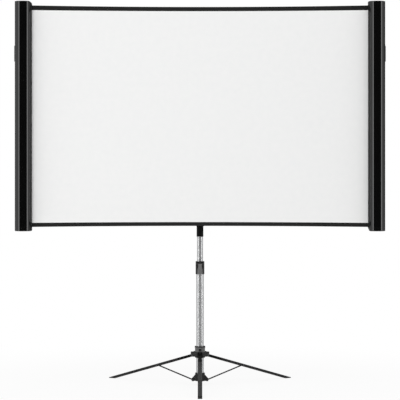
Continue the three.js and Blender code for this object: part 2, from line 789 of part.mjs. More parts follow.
// Arms: each side has one in the front layer and one in the rear layer
function armBar() {
  const hole = armPinDiameter / 2 + runningGap;
  const half = armWidth / 2;
  const shape = new THREE.Shape([
    ...arc(0, 0, half, Math.PI / 2, 1.5 * Math.PI),
    ...arc(armLength, 0, half, -Math.PI / 2, Math.PI / 2),
  ]);
  shape.holes.push(
    circleHole(0, 0, hole),
    circleHole(armLength / 2, 0, crossPinDiameter / 2 + runningGap),
    circleHole(armLength, 0, hole),
  );
  return alongY(shape, -armThickness / 2, armThickness / 2);
}

function crossPin() {
  const radius = crossPinDiameter / 2;
  const head = radius + armPinHead;
  const half = armThickness + armGap / 2;
  const inner = half + runningGap;
  const outer = half + armPinHeadThickness;
  return turned([
    [0, -outer],
    [head, -outer],
    [head, -inner],
    [radius, -inner],
    [radius, inner],
    [head, inner],
    [head, outer],
    [0, outer],
  ], pinSides).rotateX(Math.PI / 2);
}

const layers = {
  front: { back: frontArmBack, front: frontArmFront },
  rear: { back: rearArmBack, front: rearArmFront },
};

// A case outline, round at the front and flat at the back, drawn in by an inset
function caseOutline(inset) {
  const radius = caseRadius - inset;
  const corner = Math.max(caseBackCorner - inset, 1);
  const back = caseBack - inset;
  return [
    ...arc(0, caseMiddleY, radius, Math.PI, 2 * Math.PI, caseArcSteps),
    ...arc(radius - corner, back - corner, corner, 0, Math.PI / 2),
    ...arc(corner - radius, back - corner, corner, Math.PI / 2, Math.PI),
  ];
}

// Points given for the right case are mirrored for the left one
function sided(points, side) {
  return points.map(({ x, y }) => point(side * x, y));
}

const slotMiddle = sheetFront + sheetThickness / 2;
const slotFront = slotMiddle - sheetSlot / 2;
const slotRear = slotMiddle + sheetSlot / 2;

function caseShell(side) {
  const profile = new THREE.Shape(sided(caseOutline(0), side));
  const shell = alongZ(profile, shellBottom, shellTop);
  const hollow = alongZ(new THREE.Shape(sided(caseOutline(caseWall), side)), shellBottom - 1, shellTop + 1);
  const trackHalf = trackWidth / 2;
  const trackWall = box(
    -trackHalf - caseWall,
    trackHalf + caseWall,
    trackFloor - caseWall,
    caseBack - caseWall / 2,
    shellBottom,
    shellTop,
  );
  const track = box(-trackHalf, trackHalf, trackFloor, caseBack - caseWall, shellBottom - 1, shellTop + 1);
  const trackMouth = box(
    -trackSlot / 2,
    trackSlot / 2,
    trackFloor,
    caseBack + 1,
    shellBottom - 1,
    shellTop + 1,
  );
  const innerWall = -side * caseRadius;
  const sheetMouth = box(
    innerWall - 2 * caseWall,
    innerWall + 2 * caseWall,
    slotFront,
    slotRear,
    shellBottom - 1,
    shellTop + 1,
  );
  return cut(join(cut(shell, hollow), trackWall), track, trackMouth, sheetMouth);
}

// An end cap: the case's outline with a rounded rim, a spigot into the shell and a blind hole for the roller
function endCap(side, end, innerCorner) {
  const outer = end > 0 ? caseTop : caseBottom;
  const seat = end > 0 ? shellTop : shellBottom;
  const inner = side * -caseRadius;
  const outside = side * caseRadius;
  const front = caseMiddleY - caseRadius;
  const rimRoom = end * 2 * capRim;
  const body = rimmed(
    new THREE.Shape(sided(caseOutline(0), side)),
    Math.min(outer, seat - rimRoom),
    Math.max(outer, seat - rimRoom),
    capRim,
  );
  const face = new THREE.Shape([
    point(inner, seat),
    ...innerCorner.map(([across, down]) => point(inner + side * across, outer - end * down)),
    point(outside, outer),
    point(outside, seat),
  ]);
  const shaped = common(body, alongY(face, front - 1, caseBack + 1));
  const spigotEnd = seat - end * capSpigotHeight;
  const low = Math.min(spigotEnd, seat + end);
  const high = Math.max(spigotEnd, seat + end);
  const spigotOuter = caseWall + seatGap;
  const spigot = cut(
    alongZ(new THREE.Shape(sided(caseOutline(spigotOuter), side)), low, high),
    alongZ(new THREE.Shape(sided(caseOutline(spigotOuter + capSpigotWall), side)), low - 1, high + 1),
  );
  const trackClear = trackWidth / 2 + caseWall + seatGap;
  const roomBottom = end > 0 ? low - 1 : seat;
  const roomTop = end > 0 ? seat : high + 1;
  const trackRoom = box(
    -trackClear,
    trackClear,
    trackFloor - caseWall - seatGap,
    caseBack,
    roomBottom,
    roomTop,
  );
  const sheetRoom = box(
    Math.min(inner, 0),
    Math.max(inner, 0),
    slotFront,
    slotRear,
    roomBottom,
    roomTop,
  );
  const hole = rod(
    drill(gudgeonDiameter / 2 + runningGap),
    Math.min(seat - end, seat + end * arborHoleDepth),
    Math.max(seat - end, seat + end * arborHoleDepth),
  ).translate(0, rollerY, 0);
  return cut(join(shaped, cut(spigot, trackRoom, sheetRoom)), hole);
}

function sideGrip(side) {
  const outline = roundedRectangle(
    caseMiddleY,
    caseMiddleY + gripWidth,
    caseBottom + gripRise,
    caseBottom + gripRise + gripHeight,
    gripWidth / 4,
  );
  const from = side > 0 ? caseRadius : -caseRadius - gripThickness;
  return alongX(outline, from, from + gripThickness);
}

// Roller parts on the case's axis: a tube with a plugged foot, a fixed arbor in its top and a spring round that
const rollerRadius = rollerDiameter / 2;
const rollerBore = rollerRadius - rollerWall;
const rollerBottom = shellBottom + rollerEndGap;
const rollerTop = shellTop - rollerEndGap;
const gudgeon = gudgeonDiameter / 2;
const arborBottom = rollerTop - arborLength;
const flangeBottom = rollerTop - arborFlange;
const flangeRadius = rollerBore * Math.cos(Math.PI / rollerSides) - runningGap; // clears the bore's flats

function rollerTube() {
  return turned([
    [0, shellBottom - arborHoleDepth + runningGap],
    [gudgeon, shellBottom - arborHoleDepth + runningGap],
    [gudgeon, rollerBottom],
    [rollerRadius, rollerBottom],
    [rollerRadius, rollerTop],
    [rollerBore, rollerTop],
    [rollerBore, rollerBottom + rollerPlug],
    [0, rollerBottom + rollerPlug],
  ], rollerSides);
}

function rollerArbor() {
  return turned([
    [0, arborBottom],
    [arborDiameter / 2, arborBottom],
    [arborDiameter / 2, flangeBottom],
    [flangeRadius, flangeBottom],
    [flangeRadius, rollerTop],
    [gudgeon, rollerTop],
    [gudgeon, shellTop + arborHoleDepth - seatGap],
    [0, shellTop + arborHoleDepth - seatGap],
  ], rollerSides);
}

class Helix extends THREE.Curve {
  constructor(radius, pitch, turns, foot) {
    super();
    Object.assign(this, { radius, pitch, turns, foot });
  }

  getPoint(share, target = new THREE.Vector3()) {
    const angle = 2 * Math.PI * this.turns * share;
    const height = this.foot + this.pitch * this.turns * share;
    return target.set(this.radius * Math.cos(angle), this.radius * Math.sin(angle), height);
  }
}

function rollerSpring() {
  const wire = springWire / 2;
  const stepsPerTurn = 8;
  const chordSag = 1 / Math.cos(Math.PI / stepsPerTurn);
  const radius = (arborDiameter / 2 + runningGap + wire) * chordSag;
  const foot = flangeBottom - springWire - springPitch * springTurns;
  const wireSides = 5;
  const section = new THREE.Shape(arc(0, 0, wire, 0, 2 * Math.PI, wireSides / 4).slice(1));
  return new THREE.ExtrudeGeometry(section, {
    steps: springTurns * stepsPerTurn,
    extrudePath: new Helix(radius, springPitch, springTurns, foot),
  });
}

const plainCorner = [[0, 0]];
const noseCorner = arc(capNose, capNose, capNose, Math.PI, 1.5 * Math.PI, 8).map(({ x, y }) => [x, y]);
const chamferCorner = [[0, capHeight], [capChamferWidth, 0]];

for (const [name, side] of [['right', 1], ['left', -1]]) {
  const lowerLayer = side > 0 ? layers.front : layers.rear;
  const upperLayer = side > 0 ? layers.rear : layers.front;
  const middle = (layer) => (layer.back + layer.front) / 2;

  const lowerArm = placed(new THREE.Group(), 0, middle(lowerLayer), bracePivotHeight);
  lowerArm.rotation.y = side > 0 ? -braceAngle : Math.PI + braceAngle;
  lowerArm.add(piece(`arm_lower_${name}`, armBar(), satinBlack));
  const upperArm = placed(new THREE.Group(), 0, middle(upperLayer), bracePivotHeight + braceRise);
  upperArm.rotation.y = side > 0 ? braceAngle : Math.PI - braceAngle;
  upperArm.add(piece(`arm_upper_${name}`, armBar(), satinBlack));
  const crossMesh = piece(`cross_pin_${name}`, crossPin(), steel);
  const crossY = (rearArmBack + frontArmFront) / 2;
  stand.add(lowerArm, upperArm);
  stand.add(placed(crossMesh, (side * caseSpread) / 2, crossY, bracePivotHeight + braceRise / 2));

  const rollerCase = placed(new THREE.Group(), side * caseSpread, 0, 0);
  stand.add(rollerCase);
  rollerCase.add(piece(`case_shell_${name}`, caseShell(side), gloss));
  rollerCase.add(piece(`top_cap_${name}`, endCap(side, 1, side > 0 ? plainCorner : noseCorner), gloss));
  rollerCase.add(piece(`bottom_cap_${name}`, endCap(side, -1, side > 0 ? chamferCorner : plainCorner), gloss));
  rollerCase.add(piece(`side_grip_${name}`, sideGrip(side), rubber));

  const fixedBlock = piece(`case_pivot_${name}`, caseBlock(upperLayer.back, upperLayer.front), steel);
  const slidingBlock = piece(`case_slider_${name}`, caseBlock(lowerLayer.back, lowerLayer.front), moulded);
  rollerCase.add(placed(fixedBlock, 0, trackMiddle, bracePivotHeight));
  rollerCase.add(placed(slidingBlock, 0, trackMiddle, bracePivotHeight + braceRise));

  const roller = placed(new THREE.Group(), 0, rollerY, 0);
  rollerCase.add(roller);
  roller.add(piece(`roller_${name}`, rollerTube(), silver));
  roller.add(piece(`roller_arbor_${name}`, rollerArbor(), steel));
  roller.add(piece(`roller_spring_${name}`, rollerSpring(), steel));
  const windings = sleeve(rollRadius, rollerRadius + seatGap, sheetBottom, sheetTop, rollerSides);
  roller.add(piece(`sheet_roll_${name}`, windings, fabric));
}

// Sheet: drawn straight off the backs of both rolls, its long edges bowed in between the cases
const sheetSteps = 16;
const bowHalf = caseSpread - caseRadius;
const bowedEdge = (height, direction) =>
  Array.from({ length: sheetSteps + 1 }, (_, step) => {
    const share = (2 * step) / sheetSteps - 1;
    return point(direction * share * bowHalf, height - direction * sheetBow * (share ** 2 - 1));
  });
const sheetOutline = new THREE.Shape([
  point(-caseSpread, sheetBottom),
  ...bowedEdge(sheetBottom, 1),
  point(caseSpread, sheetBottom),
  point(caseSpread, sheetTop),
  ...bowedEdge(sheetTop, -1),
  point(-caseSpread, sheetTop),
]);
const sheet = alongY(sheetOutline, sheetFront, sheetFront + sheetThickness);
stand.add(piece('projection_sheet', sheet, fabric));

export default part;
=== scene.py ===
import json
import math

import bmesh
import bpy
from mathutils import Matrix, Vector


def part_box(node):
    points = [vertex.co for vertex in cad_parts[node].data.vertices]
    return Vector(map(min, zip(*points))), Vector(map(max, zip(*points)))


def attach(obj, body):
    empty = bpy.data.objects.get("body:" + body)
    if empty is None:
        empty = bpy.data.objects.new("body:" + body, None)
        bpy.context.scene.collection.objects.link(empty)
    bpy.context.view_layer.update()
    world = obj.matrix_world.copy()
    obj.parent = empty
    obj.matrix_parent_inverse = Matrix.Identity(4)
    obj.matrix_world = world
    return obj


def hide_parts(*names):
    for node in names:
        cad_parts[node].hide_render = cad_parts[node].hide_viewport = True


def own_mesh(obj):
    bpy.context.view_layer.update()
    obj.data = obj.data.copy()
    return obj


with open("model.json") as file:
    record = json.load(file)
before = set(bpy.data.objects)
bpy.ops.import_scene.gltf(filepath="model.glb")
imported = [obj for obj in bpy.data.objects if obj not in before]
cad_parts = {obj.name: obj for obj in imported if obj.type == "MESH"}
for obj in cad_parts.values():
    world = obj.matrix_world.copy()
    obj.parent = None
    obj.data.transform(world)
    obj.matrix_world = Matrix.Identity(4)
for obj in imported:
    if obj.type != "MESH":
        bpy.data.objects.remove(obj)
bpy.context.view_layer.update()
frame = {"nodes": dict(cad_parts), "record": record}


# Camera: level, at the height of the sheet's lower half and far away, so that the uprights stay parallel. The
# lens is shifted down until the whole stand is in the frame.
def middle(node):
    low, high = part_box(node)
    return (low + high) / 2


camera_distance = 9.253
camera_height = 1.195
camera_data = bpy.data.cameras.new("photographer")
camera_data.sensor_width = 36.0
camera_data.lens = 163.3
camera_data.shift_y = -0.125
camera_data.clip_end = 200.0
camera = bpy.data.objects.new("photographer", camera_data)
mast = middle("lower_tube")
camera.location = (mast.x, mast.y - camera_distance, camera_height)
camera.rotation_euler = (math.radians(90), 0, 0)
bpy.context.collection.objects.link(camera)
bpy.context.scene.camera = camera
bpy.context.scene.view_settings.view_transform = "Standard"


# Studio: a white room with a dark end behind the camera, which is what the gloss of the cases shows, two bright
# panels beside it and a pale floor that fades to white far from the stand. Two softboxes light the stand.
def grey(level):
    return (level, level, level, 1)


def ramp(tree, stops):
    node = tree.nodes.new("ShaderNodeValToRGB")
    elements = node.color_ramp.elements
    while len(elements) < len(stops):
        elements.new(0.5)
    for element, (place, level) in zip(elements, stops):
        element.position = place
        element.color = grey(level)
    return node


def math_node(tree, operation, *values):
    node = tree.nodes.new("ShaderNodeMath")
    node.operation = operation
    for socket, value in zip(node.inputs, values):
        if isinstance(value, (int, float)):
            socket.default_value = value
        else:
            tree.links.new(value, socket)
    return node.outputs[0]


def mixed(tree, mask, first, second):
    node = tree.nodes.new("ShaderNodeMix")
    node.data_type = "RGBA"
    tree.links.new(mask, node.inputs["Factor"])
    for socket, colour in ((node.inputs["A"], first), (node.inputs["B"], second)):
        if isinstance(colour, tuple):
            socket.default_value = colour
        else:
            tree.links.new(colour, socket)
    return node.outputs["Result"]


def mixed_shaders(tree, share, first, second):
    node = tree.nodes.new("ShaderNodeMixShader")
    tree.links.new(share, node.inputs["Fac"])
    tree.links.new(first, node.inputs[1])
    tree.links.new(second, node.inputs[2])
    return node.outputs[0]


white = grey(1)
room_light = 0.83
white_room = 1.0
room = bpy.data.worlds.new("white_room")
room.use_nodes = True
bpy.context.scene.world = room
room_tree = room.node_tree
room_nodes = room_tree.nodes
room_nodes.clear()
direction = room_nodes.new("ShaderNodeTexCoord").outputs["Generated"]
axes = room_nodes.new("ShaderNodeSeparateXYZ")
room_tree.links.new(direction, axes.inputs[0])
towards_front = math_node(room_tree, "MULTIPLY", axes.outputs["Y"], -1.0)
turn = math_node(room_tree, "ARCTAN2", axes.outputs["X"], towards_front)
turn_share = math_node(room_tree, "MULTIPLY_ADD", turn, 0.5 / math.pi, 0.5)

# places in the room are shares of a full turn away from its dark end, each with the brightness there
dark_end = 0.02
panel_light = 4.6
panel_step = 0.0125
fringe_light = 1.2
fringe_step = 0.020
left_panel = 0.135
right_panel = 0.155
left_wall = [(0.25, 1.0), (0.35, 0.5), (0.425, 0.2), (0.5, 0.15)]
right_wall = [(0.24, 1.0), (0.29, 0.5), (0.35, 0.15), (0.5, 0.1)]
overhead_start = 0.45
overhead_full = 0.75


def room_side(way, panel, wall):
    lit_from = panel + panel_step
    lit_to = lit_from + panel_step
    fringe = lit_to + fringe_step
    lit_panel = [(panel, dark_end), (lit_from, panel_light), (lit_to, panel_light), (fringe, fringe_light)]
    return [(0.5 + way * place, level) for place, level in lit_panel + wall]


around = ramp(room_tree, sorted(room_side(-1, left_panel, left_wall) + room_side(1, right_panel, right_wall)))
room_tree.links.new(turn_share, around.inputs[0])
overhead = ramp(room_tree, [(0.0, 0.0), (overhead_start, 0.0), (overhead_full, 1.0)])
room_tree.links.new(axes.outputs["Z"], overhead.inputs[0])
reflected = mixed(room_tree, overhead.outputs["Color"], around.outputs["Color"], white)
seen_by = room_nodes.new("ShaderNodeLightPath")
diffuse_room = room_nodes.new("ShaderNodeBackground")
diffuse_room.inputs["Color"].default_value = white
diffuse_room.inputs["Strength"].default_value = room_light
glossy_room = room_nodes.new("ShaderNodeBackground")
room_tree.links.new(reflected, glossy_room.inputs["Color"])
shown_room = room_nodes.new("ShaderNodeBackground")
shown_room.inputs["Color"].default_value = white
shown_room.inputs["Strength"].default_value = white_room
lit_room = mixed_shaders(
    room_tree, seen_by.outputs["Is Glossy Ray"], diffuse_room.outputs[0], glossy_room.outputs[0]
)
whole_room = mixed_shaders(room_tree, seen_by.outputs["Is Camera Ray"], lit_room, shown_room.outputs[0])
room_output = room_nodes.new("ShaderNodeOutputWorld")
room_tree.links.new(whole_room, room_output.inputs["Surface"])


def softbox(name, place, aim, size, power):
    lamp = bpy.data.lights.new(name, "AREA")
    lamp.shape = "RECTANGLE"
    lamp.size, lamp.size_y = size
    lamp.energy = power
    holder = bpy.data.objects.new(name, lamp)
    holder.location = place
    holder.visible_glossy = False
    bpy.context.collection.objects.link(holder)
    towards = Vector(aim) - Vector(place)
    holder.rotation_euler = towards.to_track_quat("-Z", "Y").to_euler()


softbox("ceiling_panel", place=(0, -1.0, 4.6), aim=(0, 0.2, 0.6), size=(4.0, 2.5), power=8)
softbox("key_panel", place=(-2.4, -5.6, 1.0), aim=(0, 0.1, 1.0), size=(2.0, 2.0), power=80)


def new_material(name):
    material = bpy.data.materials.new(name)
    material.use_nodes = True
    return material


def set_value(tree, socket, value):
    tree.nodes["Principled BSDF"].inputs[socket].default_value = value


floor_span = 5.0
floor_gap = 0.0005
floor_grey = 0.86
floor_roughness = 0.9
floor_shine = 0.1
floor_whiteness = 0.88
fade_start = 0.6
fade_end = 2.2
bpy.ops.object.select_all(action="DESELECT")
bpy.ops.mesh.primitive_plane_add(size=floor_span, location=(0, 0, -floor_gap))
studio_floor = bpy.context.object
studio_floor.name = "studio_floor"
floor_paint = new_material("pale_floor")
floor_tree = floor_paint.node_tree
floor_nodes = floor_tree.nodes
set_value(floor_tree, "Base Color", grey(floor_grey))
set_value(floor_tree, "Roughness", floor_roughness)
set_value(floor_tree, "Specular IOR Level", floor_shine)
floor_place = floor_nodes.new("ShaderNodeTexCoord").outputs["Object"]
from_stand = floor_nodes.new("ShaderNodeVectorMath")
from_stand.operation = "LENGTH"
floor_tree.links.new(floor_place, from_stand.inputs[0])
far_off = floor_nodes.new("ShaderNodeMapRange")
far_off.interpolation_type = "SMOOTHSTEP"
far_off.inputs["From Min"].default_value = fade_start
far_off.inputs["From Max"].default_value = fade_end
far_off.inputs["To Min"].default_value = floor_whiteness
floor_tree.links.new(from_stand.outputs["Value"], far_off.inputs["Value"])
floor_seen = floor_nodes.new("ShaderNodeLightPath")
fade = math_node(floor_tree, "MULTIPLY", far_off.outputs[0], floor_seen.outputs["Is Camera Ray"])
floor_white = floor_nodes.new("ShaderNodeEmission")
floor_white.inputs["Strength"].default_value = white_room
floor_look = mixed_shaders(floor_tree, fade, floor_nodes["Principled BSDF"].outputs[0], floor_white.outputs[0])
floor_tree.links.new(floor_look, floor_nodes["Material Output"].inputs["Surface"])
studio_floor.data.materials.append(floor_paint)


# Lower hub: a black nylon moulding under the mast, a cup for the tube with three pairs of cheeks for the struts.
# Its mould leaves a fine spark-eroded grain, and handling has polished its edges.
def new_group(name, inputs, outputs):
    group = bpy.data.node_groups.new(name, "ShaderNodeTree")
    for label, kind in inputs:
        group.interface.new_socket(label, in_out="INPUT", socket_type=kind)
    for label, kind in outputs:
        group.interface.new_socket(label, in_out="OUTPUT", socket_type=kind)
    return group, group.nodes.new("NodeGroupInput"), group.nodes.new("NodeGroupOutput")


def noise(tree, place, scale, detail):
    node = tree.nodes.new("ShaderNodeTexNoise")
    tree.links.new(place, node.inputs["Vector"])
    node.inputs["Detail"].default_value = detail
    if isinstance(scale, (int, float)):
        node.inputs["Scale"].default_value = scale
    else:
        tree.links.new(scale, node.inputs["Scale"])
    return node.outputs[0]


VALUE = "NodeSocketFloat"
VECTOR = "NodeSocketVector"

patch_share = 0.02
grain_group, grain_in, grain_out = new_group(
    "moulded_grain", [("Place", VECTOR), ("Scale", VALUE)], [("Height", VALUE), ("Patch", VALUE)]
)
grain_place = grain_in.outputs["Place"]
patch_scale = math_node(grain_group, "MULTIPLY", grain_in.outputs["Scale"], patch_share)
grain_height = noise(grain_group, grain_place, grain_in.outputs["Scale"], detail=3)
grain_group.links.new(grain_height, grain_out.inputs["Height"])
grain_patch = noise(grain_group, grain_place, patch_scale, detail=2)
grain_group.links.new(grain_patch, grain_out.inputs["Patch"])

edge_samples = 6
edge_gain = 6.0
scuff_scale = 240.0
wear_group, wear_in, wear_out = new_group(
    "edge_wear", [("Place", VECTOR), ("Radius", VALUE), ("Amount", VALUE)], [("Mask", VALUE)]
)
rounded = wear_group.nodes.new("ShaderNodeBevel")
rounded.samples = edge_samples
wear_group.links.new(wear_in.outputs["Radius"], rounded.inputs["Radius"])
true_face = wear_group.nodes.new("ShaderNodeNewGeometry")
agreement = wear_group.nodes.new("ShaderNodeVectorMath")
agreement.operation = "DOT_PRODUCT"
wear_group.links.new(rounded.outputs[0], agreement.inputs[0])
wear_group.links.new(true_face.outputs["Normal"], agreement.inputs[1])
bent = math_node(wear_group, "SUBTRACT", 1.0, agreement.outputs["Value"])
edge = math_node(wear_group, "MULTIPLY", bent, edge_gain)
scuffs = noise(wear_group, wear_in.outputs["Place"], scuff_scale, detail=4)
broken_edge = math_node(wear_group, "MULTIPLY", edge, scuffs)
worn_edge = math_node(wear_group, "MULTIPLY", broken_edge, wear_in.outputs["Amount"])
wear_limit = wear_group.nodes.new("ShaderNodeClamp")
wear_group.links.new(worn_edge, wear_limit.inputs["Value"])
wear_group.links.new(wear_limit.outputs[0], wear_out.inputs["Mask"])

dust_slope = 0.5
dust_scale = 90.0
dust_group, dust_in, dust_out = new_group(
    "settled_dust", [("Place", VECTOR), ("Amount", VALUE)], [("Mask", VALUE)]
)
dust_face = dust_group.nodes.new("ShaderNodeNewGeometry")
dust_axes = dust_group.nodes.new("ShaderNodeSeparateXYZ")
dust_group.links.new(dust_face.outputs["Normal"], dust_axes.inputs[0])
facing_up = dust_group.nodes.new("ShaderNodeMapRange")
facing_up.inputs["From Min"].default_value = dust_slope
dust_group.links.new(dust_axes.outputs["Z"], facing_up.inputs["Value"])
dust_spots = noise(dust_group, dust_in.outputs["Place"], dust_scale, detail=6)
dust_lying = math_node(dust_group, "MULTIPLY", facing_up.outputs[0], dust_spots)
dust_mask = math_node(dust_group, "MULTIPLY", dust_lying, dust_in.outputs["Amount"])
dust_group.links.new(dust_mask, dust_out.inputs["Mask"])


def placed_group(tree, group, **values):
    node = tree.nodes.new("ShaderNodeGroup")
    node.node_tree = group
    place = tree.nodes.get("Texture Coordinate") or tree.nodes.new("ShaderNodeTexCoord")
    tree.links.new(place.outputs["Object"], node.inputs["Place"])
    for label, value in values.items():
        node.inputs[label].default_value = value
    return node


def feed(tree, socket, value):
    tree.links.new(value, tree.nodes["Principled BSDF"].inputs[socket])


def bump(tree, height, strength, distance):
    node = tree.nodes.new("ShaderNodeBump")
    node.inputs["Strength"].default_value = strength
    node.inputs["Distance"].default_value = distance
    tree.links.new(height, node.inputs["Height"])
    feed(tree, "Normal", node.outputs[0])


def vary_roughness(tree, value, low, high):
    node = tree.nodes.new("ShaderNodeMapRange")
    node.inputs["To Min"].default_value = low
    node.inputs["To Max"].default_value = high
    tree.links.new(value, node.inputs["Value"])
    feed(tree, "Roughness", node.outputs[0])


wear_radius = 0.0012
dust_colour = (0.42, 0.41, 0.39, 1)
grain_spread = 0.08
grain_strength = 0.35


def grained_finish(name, dark, light, worn, roughness, shine, grain_scale, grain_depth, wear, dust):
    material = new_material(name)
    tree = material.node_tree
    set_value(tree, "Specular IOR Level", shine)
    grain = placed_group(tree, grain_group, Scale=grain_scale)
    edges = placed_group(tree, wear_group, Radius=wear_radius, Amount=wear)
    settled = placed_group(tree, dust_group, Amount=dust)
    tone = mixed(tree, grain.outputs["Patch"], grey(dark), grey(light))
    tone = mixed(tree, edges.outputs["Mask"], tone, grey(worn))
    tone = mixed(tree, settled.outputs["Mask"], tone, dust_colour)
    feed(tree, "Base Color", tone)
    vary_roughness(tree, grain.outputs["Height"], roughness - grain_spread, roughness + grain_spread)
    bump(tree, grain.outputs["Height"], grain_strength, grain_depth)
    return material


weld_distance = 1e-6
rounding_weld = 1e-5
edge_steps = 2
flat_angle = math.radians(1.5)
crease_angle = math.radians(40)
smooth_angle = math.radians(32)
body_of_node = {}
for body, nodes in frame["record"]["behaviour"]["bodies"].items():
    for node in nodes:
        body_of_node[node] = body


def active_piece(piece):
    bpy.ops.object.select_all(action="DESELECT")
    bpy.context.view_layer.objects.active = piece
    piece.select_set(True)


def shade_by_faces(piece):
    active_piece(piece)
    bpy.ops.mesh.customdata_custom_splitnormals_clear()
    bpy.ops.object.shade_smooth_by_angle(angle=smooth_angle)
    flats = piece.modifiers.new("flats_stay_flat", "WEIGHTED_NORMAL")
    flats.keep_sharp = True
    bpy.ops.object.modifier_apply(modifier=flats.name)


def round_edges(piece, width):
    active_piece(piece)
    rounding = piece.modifiers.new("rounded_edges", "BEVEL")
    rounding.width = width
    rounding.segments = edge_steps
    rounding.limit_method = "ANGLE"
    rounding.angle_limit = crease_angle
    bpy.ops.object.modifier_apply(modifier=rounding.name)
    bpy.ops.object.mode_set(mode="EDIT")
    bpy.ops.mesh.select_all(action="SELECT")
    bpy.ops.mesh.remove_doubles(threshold=rounding_weld)
    bpy.ops.object.mode_set(mode="OBJECT")
    shade_by_faces(piece)


def fix_in_place(piece, node, finish):
    piece.data.materials.clear()
    piece.data.materials.append(finish)
    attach(piece, body_of_node[node])
    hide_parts(node)


def finished_moulding(node, finish, edge):
    piece = bpy.data.objects.new(f"{node}_finished", frame["nodes"][node].data.copy())
    bpy.context.collection.objects.link(piece)
    active_piece(piece)
    bpy.ops.mesh.customdata_custom_splitnormals_clear()
    bpy.ops.object.mode_set(mode="EDIT")
    bpy.ops.mesh.select_all(action="SELECT")
    bpy.ops.mesh.remove_doubles(threshold=weld_distance)
    bpy.ops.mesh.dissolve_limited(angle_limit=flat_angle)
    bpy.ops.object.mode_set(mode="OBJECT")
    round_edges(piece, edge)
    fix_in_place(piece, node, finish)
    return piece


hub_black = grained_finish(
    "hub_black", dark=0.005, light=0.008, worn=0.04, roughness=0.42, shine=0.22,
    grain_scale=1600, grain_depth=0.00012, wear=0.7, dust=0.05,
)
finished_moulding("lower_hub", hub_black, edge=0.0006)


# Mast tubes: drawn steel tube with a bright satin plating. The drawing die leaves fine lines along the tube, and
# the upper tube carries a grey guide sleeve at its foot.
cloud_scale = 22.0
streak_group, streak_in, streak_out = new_group(
    "drawn_lines", [("Place", VECTOR), ("Across", VALUE), ("Along", VALUE)], [("Line", VALUE), ("Cloud", VALUE)]
)
stretch = streak_group.nodes.new("ShaderNodeCombineXYZ")
for axis, label in (("X", "Across"), ("Y", "Across"), ("Z", "Along")):
    streak_group.links.new(streak_in.outputs[label], stretch.inputs[axis])
stretched = streak_group.nodes.new("ShaderNodeVectorMath")
stretched.operation = "MULTIPLY"
streak_group.links.new(streak_in.outputs["Place"], stretched.inputs[0])
streak_group.links.new(stretch.outputs[0], stretched.inputs[1])
drawn_line = noise(streak_group, stretched.outputs[0], 1.0, detail=4)
streak_group.links.new(drawn_line, streak_out.inputs["Line"])
drawn_cloud = noise(streak_group, streak_in.outputs["Place"], cloud_scale, detail=3)
streak_group.links.new(drawn_cloud, streak_out.inputs["Cloud"])

line_spread = 0.04
line_strength = 0.10


def metal_finish(name, dull, bright, roughness, across, along, depth):
    material = new_material(name)
    tree = material.node_tree
    set_value(tree, "Metallic", 1.0)
    lines = placed_group(tree, streak_group, Across=across, Along=along)
    feed(tree, "Base Color", mixed(tree, lines.outputs["Cloud"], dull, bright))
    vary_roughness(tree, lines.outputs["Line"], roughness - line_spread, roughness + line_spread)
    bump(tree, lines.outputs["Line"], line_strength, depth)
    return material


def paint(node, finish):
    frame["nodes"][node].material_slots[0].material = finish


silver_tube = metal_finish(
    "silver_tube", dull=(0.56, 0.565, 0.57, 1), bright=(0.64, 0.645, 0.65, 1), roughness=0.45,
    across=2600, along=6, depth=0.00001,
)
grey_plastic = grained_finish(
    "grey_plastic", dark=0.12, light=0.15, worn=0.24, roughness=0.45, shine=0.5,
    grain_scale=1500, grain_depth=0.0001, wear=0.4, dust=0.05,
)
tube_wall = 0.0015
tube_sides = 72
tube_lip = 0.0004


def drawn_tube(node):
    low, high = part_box(node)
    bpy.ops.object.select_all(action="DESELECT")
    bpy.ops.mesh.primitive_cylinder_add(
        vertices=tube_sides,
        radius=(high.x - low.x) / 2,
        depth=high.z - low.z,
        end_fill_type="NOTHING",
        location=middle(node),
    )
    piece = bpy.context.object
    piece.name = f"{node}_drawn"
    bpy.ops.object.transform_apply(location=True, rotation=True, scale=True)
    wall = piece.modifiers.new("tube_wall", "SOLIDIFY")
    wall.thickness = tube_wall
    wall.offset = -1
    wall.use_even_offset = True
    bpy.ops.object.modifier_apply(modifier=wall.name)
    round_edges(piece, tube_lip)
    fix_in_place(piece, node, silver_tube)


drawn_tube("lower_tube")
drawn_tube("upper_tube")
paint("mast_bushing", grey_plastic)


# Collar: one black nylon moulding that slides on the lower tube, with a lobed hand screw, a black lip and a black
# bracket for the legs. Its ring between the tops of the forks and the lip is painted a lighter charcoal, a
# painted highlight for the light that the round barrel catches.
def cut_across(place, normal, discard=False):
    bpy.ops.mesh.select_all(action="SELECT")
    bpy.ops.mesh.bisect(plane_co=place, plane_no=normal, use_fill=discard, clear_outer=discard)


def second_finish(piece, finish, chosen):
    piece.data.materials.append(finish)
    for face in piece.data.polygons:
        face.material_index = int(chosen(face))


moulded_black = grained_finish(
    "moulded_black", dark=0.009, light=0.015, worn=0.06, roughness=0.42, shine=0.3,
    grain_scale=1600, grain_depth=0.00012, wear=0.7, dust=0.08,
)
# the lighter charcoal of the ring is a painted highlight, not a second colour of the moulding
collar_ring_highlight = grained_finish(
    "collar_ring_highlight", dark=0.085, light=0.110, worn=0.20, roughness=0.30, shine=0.5,
    grain_scale=1600, grain_depth=0.00012, wear=0.7, dust=0.08,
)
ring_rise = 0.0182
ring_level = middle("collar_pin_left").z + ring_rise
lip_height = 0.0055
lip_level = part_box("collar")[1].z - lip_height
collar = finished_moulding("collar", moulded_black, edge=0.0007)
bpy.ops.object.mode_set(mode="EDIT")
for level in (ring_level, lip_level):
    cut_across((0, 0, level), (0, 0, 1))
bpy.ops.object.mode_set(mode="OBJECT")
# the ring between the forks and the lip takes the lighter charcoal, a painted highlight on the round barrel
second_finish(collar, collar_ring_highlight, lambda face: ring_level < face.center.z < lip_level)
shade_by_faces(collar)

